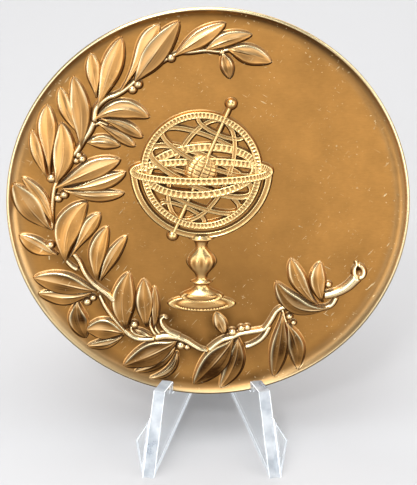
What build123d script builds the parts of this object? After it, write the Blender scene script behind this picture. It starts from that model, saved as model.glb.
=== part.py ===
from build123d import *
import math
import os

# Commemorative medal leaning on a clear two-legged easel.
# Frame: origin under the middle of the object at floor level, +Z up, -Y to the front.
# All lengths are in millimetres.

# Driving dimensions of the medal
MEDAL_DIAMETER = 73.0
MEDAL_THICKNESS = 3.4
CREST_HEIGHT = 1.4         # rim crest over the middle of the field
CREST_INSET = 0.45         # rim crest in from the edge
COVE_WIDTH = 3.4           # sloping border between field and crest
FLAT_RADIUS = 22.0         # level middle of the field
DISH_RISE = 0.25           # rise of the field from there to the border
EDGE_DRAFT = 0.35          # the edge narrows by this to the back
REVERSE_RIM_WIDTH = 1.3
REVERSE_RIM_HEIGHT = 0.3

# Driving dimensions of the relief
LEAF_EDGE_HEIGHT = 0.62    # leaf edge over the field
LEAF_CROWN = 0.30          # midrib over the leaf edge
CROWN_END_SHARE = 0.2      # crown left at the leaf's two ends
LEAF_END_HALF = 0.12       # half-width at the leaf's two ends, in shares
LEAF_FULLNESS = 0.85       # a power under 1 makes the blade fuller
LIFT_STEP = 0.17           # each overlapping layer of leaves
STEM_HEIGHT = 0.95
STEM_EDGE_SHARE = 0.55     # stem edge as a share of its height
BERRY_SEAT_SHARE = 0.45    # widest ring over the field, as a share of the berry's radius
RELIEF_ROOT = 0.5          # depth of every relief form inside the disc

# Driving dimensions of the emblem
SPHERE_RADIUS = 10.2
SPHERE_TILT_DEG = 23.5
BAND_WIDTH = 1.0
BAND_HEIGHT = 1.0
GLOBE_RADIUS = 3.0
GLOBE_RISE = 1.0
ROD_HALF_WIDTH = 0.32
ROD_HEIGHT = 1.15
ROD_EDGE_HEIGHT = 0.7
BALL_RADIUS = 0.95
COLUMN_LENGTH = 11.2
COLUMN_EDGE_HEIGHT = 0.3
COLUMN_RIDGE_HEIGHT = 0.55
COLUMN_SWELL = 0.32        # extra ridge height for each millimetre of half-width
FOOT_HALF_WIDTH = 6.2
FOOT_STEP_HEIGHT = 1.5

# Driving dimensions of the easel
LEAN_DEG = 17.0            # medal from the upright
SEAT_HEIGHT = 10.6         # lowest point of the front rim over the floor
SEAT_CLEARANCE = 0.25
PLATE_THICKNESS = 2.2
WING_ANGLE_DEG = 16.8      # each wing from the fore-and-aft line
EASEL_SHIFT = 0.7          # easel's middle to the right of the medal's
EASEL_DEPTH = 39.8         # front foot to spine
FRONT_REACH = 11.4         # front foot ahead of the lowest point of the front rim
LEG_SETBACK = 7.3          # top of the leg behind its foot
LEG_HEIGHT = 15.4
HOOK_DEPTH = 4.8
HOOK_DROP = 1.7            # hook falls towards the medal
REST_FOOT_RISE = 1.2       # foot of the back rest over the seat height
REST_HEIGHT = 48.0         # top of the back rest over the floor
SPINE_HEIGHT = 42.0
REST_TOP_LENGTH = 4.0      # level top edge of the back rest
BRACE_REACH = 9.7          # outer foot brace, back from the front foot
BRACE_SPREAD = 1.8
BRACE_THICKNESS = 1.3
BRACE_TOP_SHARE = 0.70     # of the leg's height

# Derived sizes
RADIUS = MEDAL_DIAMETER / 2
CREST_RADIUS = RADIUS - CREST_INSET
COVE_START = CREST_RADIUS - COVE_WIDTH
BACK_LEVEL = CREST_HEIGHT - MEDAL_THICKNESS
LEAN = math.radians(LEAN_DEG)
WING_ANGLE = math.radians(WING_ANGLE_DEG)
CORNER_REACH = PLATE_THICKNESS / 2 * math.sin(WING_ANGLE)  # plate's corner ahead of its middle
FRONT_Y = (CORNER_REACH - EASEL_DEPTH) / 2
SPINE_Y = FRONT_Y + EASEL_DEPTH
SHARE = MEDAL_DIAMETER / 73    # places on the face are in 73rds of the diameter

# Laurel leaves, in shares, on the face: x to the right, y up, from the medal's middle.
# Columns: base x, base y, tip x, tip y, bow to the left, left half-width, right half-width,
# place of the widest point from base to tip, layer
LEAVES = [
    (3.5, 29.3, 10.8, 27.1, 0.35, 1.55, 1.80, 0.50, 1),
    (2.6, 28.6, 3.8, 24.4, 0.00, 1.20, 1.00, 0.52, 0),
    (-0.3, 29.3, 7.3, 31.7, 0.35, 1.50, 1.05, 0.50, 1),
    (-5.7, 28.3, 2.8, 33.6, 0.15, 1.50, 1.60, 0.55, 2),
    (-12.7, 23.8, -5.1, 33.8, 0.10, 2.05, 2.15, 0.50, 2),
    (-15.5, 21.7, -8.5, 33.3, -0.20, 1.85, 1.20, 0.75, 0),
    (-19.3, 19.4, -15.0, 31.1, 0.00, 1.75, 1.85, 0.60, 2),
    (-19.5, 21.1, -20.2, 28.4, 0.00, 1.25, 1.30, 0.62, 0),
    (-22.6, 12.0, -23.4, 24.3, -0.70, 1.90, 1.65, 0.55, 1),
    (-23.0, 14.7, -25.8, 22.4, 0.35, 1.25, 1.20, 0.60, 0),
    (-28.3, 7.2, -28.2, 19.4, 0.15, 1.75, 1.55, 0.68, 1),
    (-27.3, 5.6, -25.9, 16.2, -0.88, 1.98, 1.98, 0.52, 2),
    (-28.9, 6.7, -31.1, 14.8, 0.30, 1.05, 1.10, 0.60, 0),
    (-27.4, 4.6, -15.9, 9.6, 0.25, 1.90, 1.75, 0.62, 3),
    (-26.0, 4.5, -15.0, 7.2, -0.75, 1.30, 1.35, 0.66, 2),
    (-25.9, 4.2, -15.4, 3.4, -0.75, 1.10, 1.15, 0.60, 1),
    (-19.8, 17.2, -10.6, 17.4, 1.55, 1.70, 1.70, 0.55, 2),
    (-18.7, 17.2, -11.8, 13.8, 0.40, 1.10, 1.10, 0.62, 1),
    (-19.3, 16.3, -13.2, 12.2, 0.10, 0.90, 0.90, 0.65, 0),
    (-21.4, 12.9, -15.9, 12.2, 0.40, 1.25, 1.25, 0.50, 0),
    (-28.5, -3.3, -34.8, 5.1, 0.50, 2.10, 2.25, 0.55, 2),
    (-28.3, -2.0, -33.2, 6.3, -0.70, 1.20, 1.15, 0.55, 1),
    (-26.2, -9.5, -22.1, 1.7, 1.50, 2.55, 2.25, 0.55, 2),
    (-25.3, -8.5, -19.8, -0.5, 0.00, 1.50, 1.10, 0.70, 1),
    (-27.9, -8.1, -34.3, -4.6, 0.10, 1.85, 1.30, 0.55, 1),
    (-20.5, -13.1, -18.4, -3.1, 0.80, 1.75, 1.45, 0.55, 2),
    (-20.0, -13.2, -15.1, -4.9, 0.30, 1.15, 1.15, 0.55, 1),
    (-21.0, -15.2, -32.1, -12.8, 0.00, 2.20, 2.20, 0.55, 2),
    (-21.9, -15.7, -31.3, -15.9, 0.80, 1.65, 1.40, 0.55, 1),
    (-24.4, -17.6, -23.2, -24.8, -0.57, 1.72, 1.90, 0.52, 0),
    (-15.8, -23.7, -22.8, -23.3, -0.40, 2.15, 2.15, 0.55, 2),
    (-16.3, -24.5, -22.6, -26.5, 0.60, 1.00, 1.00, 0.55, 1),
    (-15.4, -23.0, -14.7, -12.0, 0.95, 2.05, 2.30, 0.50, 2),
    (-11.6, -22.5, -11.9, -13.3, 0.10, 1.65, 1.65, 0.52, 2),
    (-10.1, -22.8, -10.0, -14.8, -0.20, 0.80, 0.75, 0.55, 1),
    (-10.5, -24.5, -13.7, -23.2, 0.10, 0.45, 0.45, 0.60, 2),
    (-6.0, -25.5, -15.9, -30.6, 0.25, 2.35, 2.35, 0.50, 2),
    (-6.3, -26.8, -13.8, -31.9, 0.90, 1.10, 1.10, 0.50, 1),
    (-5.9, -28.1, -10.9, -33.3, 1.45, 0.75, 0.75, 0.50, 0),
    (4.7, -25.1, -2.6, -34.4, 0.30, 2.40, 2.40, 0.50, 2),
    (5.6, -25.1, 2.5, -35.0, 0.90, 1.90, 1.70, 0.50, 1),
    (3.3, -24.1, 1.6, -20.1, 0.10, 1.10, 1.10, 0.50, 0),
    (14.0, -19.9, 12.6, -32.7, 0.20, 1.75, 1.60, 0.58, 1),
    (14.9, -21.9, 17.1, -31.0, 0.65, 1.60, 1.60, 0.55, 1),
    (22.6, -18.5, 12.8, -13.9, 2.50, 1.65, 1.95, 0.58, 3),
    (20.4, -18.0, 15.4, -9.3, 0.80, 1.48, 1.48, 0.62, 2),
    (21.4, -17.5, 20.7, -9.9, 0.65, 1.48, 1.48, 0.55, 1),
]

# Stems, petioles and the tendril, in shares.
# Columns: half-width at the start, half-width at the end, points along the stem
STEMS = [
    (0.85, 0.55, [(27.9, -12.4), (26.2, -14.4), (24.6, -15.5), (23.0, -16.1), (21.6, -16.4)]),
    (0.32, 0.12, [(27.4, -12.8), (27.3, -11.1), (27.6, -10.4), (27.2, -9.5)]),
    (0.30, 0.16, [(28.2, -12.8), (28.7, -11.9), (28.3, -10.7)]),
    (0.35, 0.45, [(24.0, -16.6), (23.3, -18.0), (22.0, -18.8), (20.2, -19.1)]),
    (0.35, 0.45, [(15.2, -18.9), (14.0, -18.8), (12.9, -19.5), (12.0, -21.1), (11.1, -22.6),
                  (10.2, -23.3), (8.1, -23.7), (6.1, -24.1), (4.6, -24.8), (2.9, -25.3),
                  (1.5, -26.2), (0.0, -27.6)]),
    (0.30, 0.55, [(0.1, -27.7), (-1.5, -27.3), (-2.8, -26.5), (-4.1, -25.6), (-5.4, -25.0),
                  (-6.7, -24.7), (-8.4, -24.6), (-10.2, -25.0)]),
    (0.45, 0.25, [(-10.0, -25.0), (-12.0, -25.2), (-13.6, -25.0), (-15.1, -24.1),
                  (-16.8, -22.2), (-18.2, -20.3), (-19.4, -18.4), (-20.3, -16.2)]),
    (0.45, 0.28, [(-17.4, -17.6), (-18.9, -16.0), (-20.3, -14.9), (-21.5, -13.8),
                  (-22.8, -12.0), (-23.8, -9.6), (-24.9, -8.0)]),
    (0.35, 0.22, [(-24.1, -11.3), (-25.4, -10.4), (-26.6, -9.0)]),
    (0.25, 0.45, [(-28.5, -3.6), (-28.4, -0.2), (-28.1, 2.3), (-27.6, 4.6), (-26.4, 7.4),
                  (-24.6, 9.9), (-23.3, 11.4), (-22.2, 13.1), (-21.0, 14.8), (-20.1, 16.6)]),
    (0.45, 0.30, [(-20.1, 16.5), (-19.6, 19.0), (-17.8, 20.7), (-16.0, 21.4), (-14.2, 22.5),
                  (-12.6, 23.9)]),
    (0.28, 0.28, [(-9.4, 26.3), (-6.6, 27.9), (-4.8, 28.7), (-3.0, 28.8), (-0.3, 29.1),
                  (1.8, 28.9), (3.4, 29.2), (4.8, 29.3)]),
    (0.22, 0.22, [(-10.8, -20.4), (-10.9, -22.4), (-10.2, -24.1), (-9.2, -24.6)]),
    (0.20, 0.20, [(-10.1, -21.5), (-9.9, -23.2), (-9.1, -24.3)]),
    (0.45, 0.14, [(-5.2, -24.9), (-6.4, -24.3), (-7.7, -23.6), (-8.6, -22.5), (-8.9, -21.4),
                  (-8.3, -20.8), (-7.7, -21.2)]),
    (0.20, 0.20, [(-10.8, -25.1), (-12.0, -24.7), (-13.6, -24.3), (-14.5, -23.5),
                  (-14.4, -22.5)]),
    (0.38, 0.38, [(7.0, -26.8), (8.2, -26.4), (9.8, -25.4), (10.9, -24.1), (11.6, -22.5)]),
    (0.22, 0.22, [(13.9, -19.1), (14.4, -21.0), (15.1, -23.1), (15.4, -25.7)]),
    (0.25, 0.25, [(-20.2, 15.9), (-19.0, 16.4), (-17.6, 15.9)]),
]

# Berries, in shares. Columns: x, y, radius
BERRIES = [
    (-6.4, 27.8, 0.70), (2.4, 28.8, 0.55), (4.4, 29.4, 0.38), (-12.2, 23.2, 0.70),
    (-13.2, 22.3, 0.70), (-28.1, 6.3, 0.80), (-23.1, 10.5, 0.60), (-22.5, 9.8, 0.65),
    (-23.6, 9.5, 0.55), (-26.0, 3.2, 0.72), (-27.1, 2.5, 0.68), (-28.9, -6.4, 0.68),
    (-22.6, -17.6, 0.72), (-21.5, -16.8, 0.60), (-13.9, -22.2, 0.70), (-5.2, -26.5, 0.78),
    (-4.0, -26.9, 0.55), (4.6, -23.8, 0.75), (6.3, -23.1, 0.68), (7.4, -22.9, 0.60),
    (22.4, -14.2, 0.58), (15.3, -20.6, 0.62), (16.1, -21.9, 0.50),
]

# Rings of the armillary sphere, as shares of its radius.
# Columns: half length, half breadth, shift along the polar axis, turn in degrees from the
# polar axis's square, band width and band height as shares of the common band
RINGS = [
    (1.00, 1.000, 0.000, 0.0, 1.15, 1.10),
    (0.97, 0.280, 0.000, 0.0, 1.00, 0.98),
    (0.90, 0.250, 0.380, 0.0, 0.75, 0.74),
    (0.90, 0.250, -0.380, 0.0, 0.75, 0.74),
    (0.42, 0.130, 0.850, 0.0, 0.65, 0.66),
    (0.42, 0.130, -0.850, 0.0, 0.65, 0.66),
    (0.95, 0.420, 0.000, 28.0, 1.45, 0.86),
    (0.97, 0.480, 0.000, 90.0, 0.75, 0.58),
]
EMBLEM_X = -1.2            # middle of the sphere, in shares
EMBLEM_Y = 7.6
AXIS_OVERHANG = 0.30       # axis rod past the sphere, as a share of its radius
CRADLE_REACH = 1.19        # cradle and horizon ring, as a share of the sphere's radius
CRADLE_HEIGHT = 0.8
HORIZON_BREADTH = 0.17     # as a share of the sphere's radius
HORIZON_WIDTH = 1.25
HORIZON_HEIGHT = 1.22

# Turned column, as shares. Columns: place down the column, half-width of the foot's half-width
COLUMN = [
    (0.00, 0.22), (0.06, 0.34), (0.11, 0.18), (0.22, 0.15), (0.36, 0.36), (0.46, 0.42),
    (0.56, 0.34), (0.68, 0.16), (0.76, 0.15), (0.81, 0.30), (0.86, 0.18), (0.93, 0.26),
    (1.00, 0.52),
]

# Steps of the foot from the top. Columns: half-width and half-breadth as shares of the foot's
# half-width and the step's height, height over the field
FOOT_STEPS = [(0.62, 0.75, 0.95), (1.00, 1.00, 0.70)]

DOME_SIDES = 8
LEAF_STATIONS = [0.0, 0.13, 0.33, 0.55, 0.76, 0.91, 1.0]


def field_height(radius):
    """Height of the face at a radius: level, then a shallow dish, then the rising cove."""
    dish_run = max(0.0, radius - FLAT_RADIUS) / (COVE_START - FLAT_RADIUS)
    cove_run = max(0.0, radius - COVE_START) / COVE_WIDTH
    cove = (CREST_HEIGHT - DISH_RISE) * min(cove_run, 1.0) ** 2
    return DISH_RISE * min(dish_run, 1.0) ** 2 + cove


def height_at(x, y):
    return field_height(math.hypot(x, y))


def medal_disc():
    """Disc with raised rim, turned from its half section."""
    edge_low = BACK_LEVEL + CREST_INSET
    reverse_field = BACK_LEVEL + REVERSE_RIM_HEIGHT
    back_radius = RADIUS - EDGE_DRAFT - CREST_INSET
    inner_radius = back_radius - REVERSE_RIM_WIDTH
    dish_middle = (FLAT_RADIUS + COVE_START) / 2
    cove_middle = COVE_START + COVE_WIDTH / 2
    corner = CREST_INSET * (1 - math.sqrt(0.5))
    front = [
        Line((0, 0), (FLAT_RADIUS, 0)),
        ThreePointArc((FLAT_RADIUS, 0), (dish_middle, field_height(dish_middle)),
                      (COVE_START, DISH_RISE)),
        ThreePointArc((COVE_START, field_height(COVE_START)),
                      (cove_middle, field_height(cove_middle)), (CREST_RADIUS, CREST_HEIGHT)),
        ThreePointArc((CREST_RADIUS, CREST_HEIGHT), (RADIUS - corner, CREST_HEIGHT - corner),
                      (RADIUS, CREST_HEIGHT - CREST_INSET)),
    ]
    back = Polyline((RADIUS, CREST_HEIGHT - CREST_INSET), (RADIUS - EDGE_DRAFT, edge_low),
                    (back_radius, BACK_LEVEL), (inner_radius, BACK_LEVEL),
                    (inner_radius - REVERSE_RIM_HEIGHT, reverse_field), (0, reverse_field), (0, 0))
    section = Plane.XZ * make_face(front + [back])
    return revolve(section, Axis.Z)


def ridge_solid(middles, lefts, rights, edge_tops, ridge_tops):
    """Low bar with upright sides and a ridge: one five-point section at each middle point."""
    rows = []
    for index, (x, y) in enumerate(middles):
        before = middles[max(index - 1, 0)]
        after = middles[min(index + 1, len(middles) - 1)]
        along = Vector(after[0] - before[0], after[1] - before[1], 0).normalized()
        side = Vector(-along.Y, along.X, 0)
        middle = Vector(x, y, 0)
        left = middle + side * lefts[index]
        right = middle - side * rights[index]
        rows.append([
            Vector(left.X, left.Y, -RELIEF_ROOT),
            Vector(left.X, left.Y, edge_tops[index]),
            Vector(x, y, ridge_tops[index]),
            Vector(right.X, right.Y, edge_tops[index]),
            Vector(right.X, right.Y, -RELIEF_ROOT),
        ])
    polygons = [rows[0], rows[-1][::-1]]
    polygons.append([row[0] for row in rows] + [row[4] for row in reversed(rows)])
    for low, high in zip(rows, rows[1:]):
        polygons.append([low[0], high[0], high[1], low[1]])
        polygons.append([low[4], low[3], high[3], high[4]])
        for near in (1, 2):
            polygons.append([low[near], high[near], high[near + 1]])
            polygons.append([low[near], high[near + 1], low[near + 1]])
    faces = [Face(Wire.make_polygon(polygon)) for polygon in polygons]
    solid = Solid(Shell(faces))
    return solid if solid.volume > 0 else -solid


def leaf(base_x, base_y, tip_x, tip_y, bow, left, right, belly, layer):
    """Pointed leaf on a bowed midrib, widest at its belly."""
    run_x, run_y = tip_x - base_x, tip_y - base_y
    length = math.hypot(run_x, run_y)
    power = math.log(0.5) / math.log(belly)
    middles, lefts, rights, edges, ridges = [], [], [], [], []
    for station in LEAF_STATIONS:
        bulge = 4 * station * (1 - station) * bow
        x = (base_x + station * run_x - bulge * run_y / length) * SHARE
        y = (base_y + station * run_y + bulge * run_x / length) * SHARE
        fullness = max(math.sin(math.pi * station ** power), 0.0) ** LEAF_FULLNESS
        edge = height_at(x, y) + layer * LIFT_STEP + LEAF_EDGE_HEIGHT
        crown = CROWN_END_SHARE + (1 - CROWN_END_SHARE) * fullness
        middles.append((x, y))
        lefts.append((LEAF_END_HALF + fullness * (left - LEAF_END_HALF)) * SHARE)
        rights.append((LEAF_END_HALF + fullness * (right - LEAF_END_HALF)) * SHARE)
        edges.append(edge)
        ridges.append(edge + LEAF_CROWN * crown)
    return ridge_solid(middles, lefts, rights, edges, ridges)


def stem(start, end, points):
    """Stem that tapers evenly from its start to its end."""
    steps = len(points) - 1
    middles = [(x * SHARE, y * SHARE) for x, y in points]
    halves = [(start + (end - start) * index / steps) * SHARE for index in range(steps + 1)]
    floors = [height_at(x, y) for x, y in middles]
    edges = [floor + STEM_HEIGHT * STEM_EDGE_SHARE for floor in floors]
    ridges = [floor + STEM_HEIGHT for floor in floors]
    return ridge_solid(middles, halves, halves, edges, ridges)


def dome(x, y, radius, level, height):
    """Faceted dome on upright sides: level is its widest ring, height its top over that."""
    turns = [2 * math.pi * (side + 0.5) / DOME_SIDES for side in range(DOME_SIDES)]
    half_way = math.sqrt(0.5)
    tiers = []
    for share, z in ((1, -RELIEF_ROOT), (1, level), (half_way, level + height * half_way)):
        tiers.append([Vector(x + radius * share * math.cos(turn),
                             y + radius * share * math.sin(turn), z) for turn in turns])
    top = Vector(x, y, level + height)
    polygons = [tiers[0][::-1]]
    for side in range(DOME_SIDES):
        after = (side + 1) % DOME_SIDES
        for low, high in zip(tiers, tiers[1:]):
            polygons.append([low[side], low[after], high[after], high[side]])
        polygons.append([tiers[-1][side], tiers[-1][after], top])
    solid = Solid(Shell([Face(Wire.make_polygon(polygon)) for polygon in polygons]))
    return solid if solid.volume > 0 else -solid


def berry(x, y, radius):
    """Round berry, seated a little above the field."""
    x, y, radius = x * SHARE, y * SHARE, radius * SHARE
    return dome(x, y, radius, height_at(x, y) + BERRY_SEAT_SHARE * radius, radius)


def band(half_length, half_breadth, width, height):
    """Flat elliptical ring of even width, standing on the field."""
    outer = Ellipse(half_length + width / 2, half_breadth + width / 2)
    inner = Ellipse(half_length - width / 2, half_breadth - width / 2)
    return Pos(0, 0, -RELIEF_ROOT) * extrude(outer - inner, RELIEF_ROOT + height)


def sphere_rings():
    """Great and small circles of the armillary sphere about its leaning axis."""
    rings = []
    lean = Rot(0, 0, -SPHERE_TILT_DEG)
    for half_length, half_breadth, shift, turn, width, height in RINGS:
        ring = band(half_length * SPHERE_RADIUS, half_breadth * SPHERE_RADIUS,
                    width * BAND_WIDTH, height * BAND_HEIGHT)
        rings.append(lean * Pos(0, shift * SPHERE_RADIUS, 0) * Rot(0, 0, turn) * ring)
    return rings


def sphere_axis():
    """Polar rod through the sphere with a ball at each end, and the globe at its middle."""
    half = SPHERE_RADIUS * (1 + AXIS_OVERHANG)
    lean = Rot(0, 0, -SPHERE_TILT_DEG)
    halves = [ROD_HALF_WIDTH] * 2
    rod = ridge_solid([(0, -half), (0, half)], halves, halves, [ROD_EDGE_HEIGHT] * 2,
                      [ROD_HEIGHT] * 2)
    pieces = [lean * rod, dome(0, 0, GLOBE_RADIUS, BAND_HEIGHT / 2, GLOBE_RISE)]
    for end in (-half, half):
        ball = dome(0, end, BALL_RADIUS, BERRY_SEAT_SHARE * BALL_RADIUS, BALL_RADIUS)
        pieces.append(lean * ball)
    return pieces


def sphere_stand():
    """Horizon ring, cradle, turned column and stepped foot under the sphere."""
    reach = CRADLE_REACH * SPHERE_RADIUS
    horizon = band(reach, HORIZON_BREADTH * SPHERE_RADIUS, HORIZON_WIDTH, HORIZON_HEIGHT)
    cradle = band(reach, reach, BAND_WIDTH, CRADLE_HEIGHT)
    cradle &= Pos(0, -reach, 0) * Box(3 * reach, 2 * reach, 8 * BAND_HEIGHT)
    middles = [(0, -reach - share * COLUMN_LENGTH) for share, width in COLUMN]
    halves = [width * FOOT_HALF_WIDTH for share, width in COLUMN]
    edges = [COLUMN_EDGE_HEIGHT] * len(COLUMN)
    ridges = [COLUMN_RIDGE_HEIGHT + COLUMN_SWELL * half for half in halves]
    column = ridge_solid(middles, halves, halves, edges, ridges)
    steps = []
    level = -reach - COLUMN_LENGTH - FOOT_STEP_HEIGHT / 2
    for width, breadth, height in FOOT_STEPS:
        plate = Ellipse(width * FOOT_HALF_WIDTH, breadth * FOOT_STEP_HEIGHT)
        steps.append(Pos(0, level, -RELIEF_ROOT) * extrude(plate, RELIEF_ROOT + height))
        level -= FOOT_STEP_HEIGHT
    return [horizon, cradle, column] + steps


def emblem():
    """Armillary sphere on its turned stand, raised on the field."""
    place = Pos(EMBLEM_X * SHARE, EMBLEM_Y * SHARE, 0)
    return [place * piece for piece in sphere_rings() + sphere_axis() + sphere_stand()]


def flat_medal():
    """Medal lying on its back: the disc with its relief, one solid."""
    relief = [leaf(*row) for row in LEAVES]
    relief += [stem(*row) for row in STEMS]
    relief += [berry(*row) for row in BERRIES]
    relief += emblem()
    return medal_disc().fuse(*relief)


def medal_plane():
    """Plane of the field's middle when the medal leans in the easel."""
    slant = RADIUS * math.sin(LEAN)
    crest_bottom_y = FRONT_Y + FRONT_REACH
    crest_bottom_z = SEAT_HEIGHT
    front = Vector(0, -math.cos(LEAN), math.sin(LEAN))
    middle = Vector(0, crest_bottom_y + slant, crest_bottom_z + RADIUS * math.cos(LEAN))
    return Plane(origin=middle - front * CREST_HEIGHT, x_dir=(1, 0, 0), z_dir=front)


def seat_cutter():
    """Space of the medal's edge with its clearance all round."""
    thickness = MEDAL_THICKNESS + 2 * SEAT_CLEARANCE
    middle = (CREST_HEIGHT + BACK_LEVEL) / 2
    slug = Pos(0, 0, middle) * Cylinder(RADIUS + SEAT_CLEARANCE, thickness)
    return medal_plane().location * slug


def wing_outline():
    """Side view of a wing: leg, hook, seat, back rest, spine and floor edge."""
    stretch = 1 / math.cos(WING_ANGLE)
    rest_foot_y = FRONT_Y + FRONT_REACH + MEDAL_THICKNESS / 2
    rest_foot_z = SEAT_HEIGHT + REST_FOOT_RISE
    rise = REST_HEIGHT - rest_foot_z
    hook_y = FRONT_Y + LEG_SETBACK + HOOK_DEPTH
    corners = [
        (FRONT_Y, 0),
        (FRONT_Y + LEG_SETBACK, LEG_HEIGHT),
        (hook_y, LEG_HEIGHT - HOOK_DROP),
        (rest_foot_y, rest_foot_z),
        (rest_foot_y + rise * math.tan(LEAN), REST_HEIGHT),
        (rest_foot_y + rise * math.tan(LEAN) + REST_TOP_LENGTH, REST_HEIGHT),
        (SPINE_Y + PLATE_THICKNESS, SPINE_HEIGHT),
        (SPINE_Y + PLATE_THICKNESS, 0),
    ]
    return [((y - SPINE_Y) * stretch, z) for y, z in corners]


def wing(side):
    """One wing of the easel; side is -1 on the left and 1 on the right."""
    aft = Vector(-side * math.sin(WING_ANGLE), math.cos(WING_ANGLE), 0)
    across = aft.cross(Vector(0, 0, 1))
    plane = Plane(origin=(0, SPINE_Y, 0), x_dir=aft, z_dir=across)
    outline = make_face(Polyline(*wing_outline(), close=True))
    plate = plane.location * extrude(outline, PLATE_THICKNESS / 2, both=True)
    half_space = Pos(side * MEDAL_DIAMETER / 2, 0, 0)
    half_space = half_space * Box(MEDAL_DIAMETER, 3 * EASEL_DEPTH, 4 * REST_HEIGHT)
    back_stop = Pos(0, SPINE_Y - 2 * EASEL_DEPTH, 0)
    back_stop = back_stop * Box(2 * MEDAL_DIAMETER, 4 * EASEL_DEPTH, 4 * REST_HEIGHT)
    plate = (plate & half_space) & back_stop
    return Pos(EASEL_SHIFT, 0, 0) * (plate + brace(side)) - seat_cutter()


def brace(side):
    """Small plate that steadies the front foot on its outer side."""
    outer = PLATE_THICKNESS / 2 / math.cos(WING_ANGLE)
    foot_x = EASEL_DEPTH * math.tan(WING_ANGLE) + outer
    top_y = FRONT_Y + LEG_SETBACK * BRACE_TOP_SHARE
    top_x = (SPINE_Y - top_y) * math.tan(WING_ANGLE) + outer
    corners = [
        (side * foot_x, FRONT_Y, 0),
        (side * (foot_x + BRACE_SPREAD), FRONT_Y + BRACE_REACH, 0),
        (side * top_x, top_y, LEG_HEIGHT * BRACE_TOP_SHARE),
    ]
    face = Face(Wire.make_polygon([Vector(*corner) for corner in corners]))
    return extrude(face, BRACE_THICKNESS, dir=(-side, 0, 0))


def main():
    os.makedirs("parts", exist_ok=True)
    medal = medal_plane().location * flat_medal()
    nodes = {
        "medal": medal,
        "stand_wing_left": wing(-1),
        "stand_wing_right": wing(1),
    }
    for name, shape in nodes.items():
        export_step(shape, "parts/" + name + ".step")


main()
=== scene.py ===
import math
from types import SimpleNamespace

import bmesh
import bpy
import numpy as np
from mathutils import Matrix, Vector


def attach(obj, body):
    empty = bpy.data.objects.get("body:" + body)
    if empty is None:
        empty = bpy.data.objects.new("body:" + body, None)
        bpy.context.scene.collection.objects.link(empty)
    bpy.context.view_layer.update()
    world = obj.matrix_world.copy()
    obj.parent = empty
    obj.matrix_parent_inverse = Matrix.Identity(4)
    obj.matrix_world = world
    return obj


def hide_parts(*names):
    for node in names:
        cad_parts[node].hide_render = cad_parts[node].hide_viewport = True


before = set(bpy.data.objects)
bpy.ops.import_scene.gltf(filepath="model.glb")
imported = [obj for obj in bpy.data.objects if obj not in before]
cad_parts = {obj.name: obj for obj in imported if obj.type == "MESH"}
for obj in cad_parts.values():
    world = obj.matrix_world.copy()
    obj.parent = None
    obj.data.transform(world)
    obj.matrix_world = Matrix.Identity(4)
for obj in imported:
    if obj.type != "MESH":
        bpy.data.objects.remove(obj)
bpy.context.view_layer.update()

# Looks of a bronze commemorative medal with a laurel branch and an armillary sphere in relief,
# leaning in a small clear easel. Lengths are in millimetres until they go into a mesh.
MM = 0.001

# Medal
RADIUS = 36.5
THICKNESS = 3.4
CREST_HEIGHT = 1.4
CREST_INSET = 0.45
COVE_WIDTH = 3.4
COVE_POWER = 6
FLAT_RADIUS = 22.0
DISH_RISE = 0.25
EDGE_DRAFT = 0.35
REVERSE_RIM_WIDTH = 1.3
REVERSE_RIM_HEIGHT = 0.3
DISC_SIDES = 640
CREST_RADIUS = RADIUS - CREST_INSET
COVE_START = CREST_RADIUS - COVE_WIDTH
BACK_LEVEL = CREST_HEIGHT - THICKNESS
BACK_RADIUS = RADIUS - EDGE_DRAFT - CREST_INSET
REVERSE_RADIUS = BACK_RADIUS - REVERSE_RIM_WIDTH

# Place of the medal: middle of its crest circle, and its lean from the upright
LEAN = math.radians(17.0)
CREST_MIDDLE = np.array([0.0, 2.331, 45.505])
FACE_RIGHT = np.array([1.0, 0.0, 0.0])
FACE_UP = np.array([0.0, math.sin(LEAN), math.cos(LEAN)])
FACE_OUT = np.array([0.0, -math.cos(LEAN), math.sin(LEAN)])
FACE_MIDDLE = CREST_MIDDLE - FACE_OUT * CREST_HEIGHT

# Painted light and shade: surfaces facing up, a little to the left, are painted brighter, and those
# facing away darker
PAINTED_LIGHT_UP = 0.98
PAINTED_LIGHT_LEFT = 0.18
DISC_PAINTED_LIGHT = 0.15  # the field gets less of the painted highlight than the relief
CREST_WEAR_HALF = 0.28  # half-width of the crest's bright line
BRANCH_SHADE_REACH = 2.4  # how far from the branch the painted shade on the field reaches

# Darker parts of the field. Columns: share, x, y, half-width, half-height
DARKER_FIELD = [(0.55, 4, -18, 15, 13), (0.10, 10, 4, 8, 10)]

# Relief
LEAF_STATIONS = 29  # from base to tip
LEAF_BASE_HEIGHT = 1.15  # lip over the field near the stem and at the tip
LEAF_TIP_HEIGHT = 0.34
LEAF_WAVE = 0.05  # rise and fall of the lip along the leaf
LEAF_CROWN = 0.09
LEAF_HOLLOW = 0.13  # blade's hollow under its upper lip
LEAF_TWIST = 0.085  # rise of one half of the blade for each millimetre from its midrib
LIP_WIDTH = 0.32  # rounded edge outside the lip, on the upper and on the lower side
LOW_LIP_WIDTH = 0.42
LIP_FOOT = 0.34  # share of the lip's height where the rounded edge starts
LEAF_END_HALF = 0.12
BASE_TAPER = 1.05  # power of the outline's sine near the stem and at the fuller tip
TIP_TAPER = 0.66
RIB_HEIGHT = 0.03
RIB_HALF = 0.10
GROOVE_DEPTH = 0.05
GROOVE_PLACE = 0.20  # from the midrib
CREASE_DEPTH = 0.025
CREASE_PLACES = (0.36, 0.60)  # as shares of the blade from the midrib to the lip
CREASE_HALF = 0.05
LIFT_STEP = 0.17  # rise from one layer of leaves to the next
STEM_HEIGHT = 0.95
STEM_SPREAD = 1.14
STEM_SEAT = 0.42  # share of a stem's height where its rounded top starts
STEM_FULL_HALF = 0.42  # half-width at which a stem has its full height
STEM_STEP = 0.22
STEM_ROUNDING = 0.35  # length of the rounded end
BERRY_SEAT = 0.15
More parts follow.
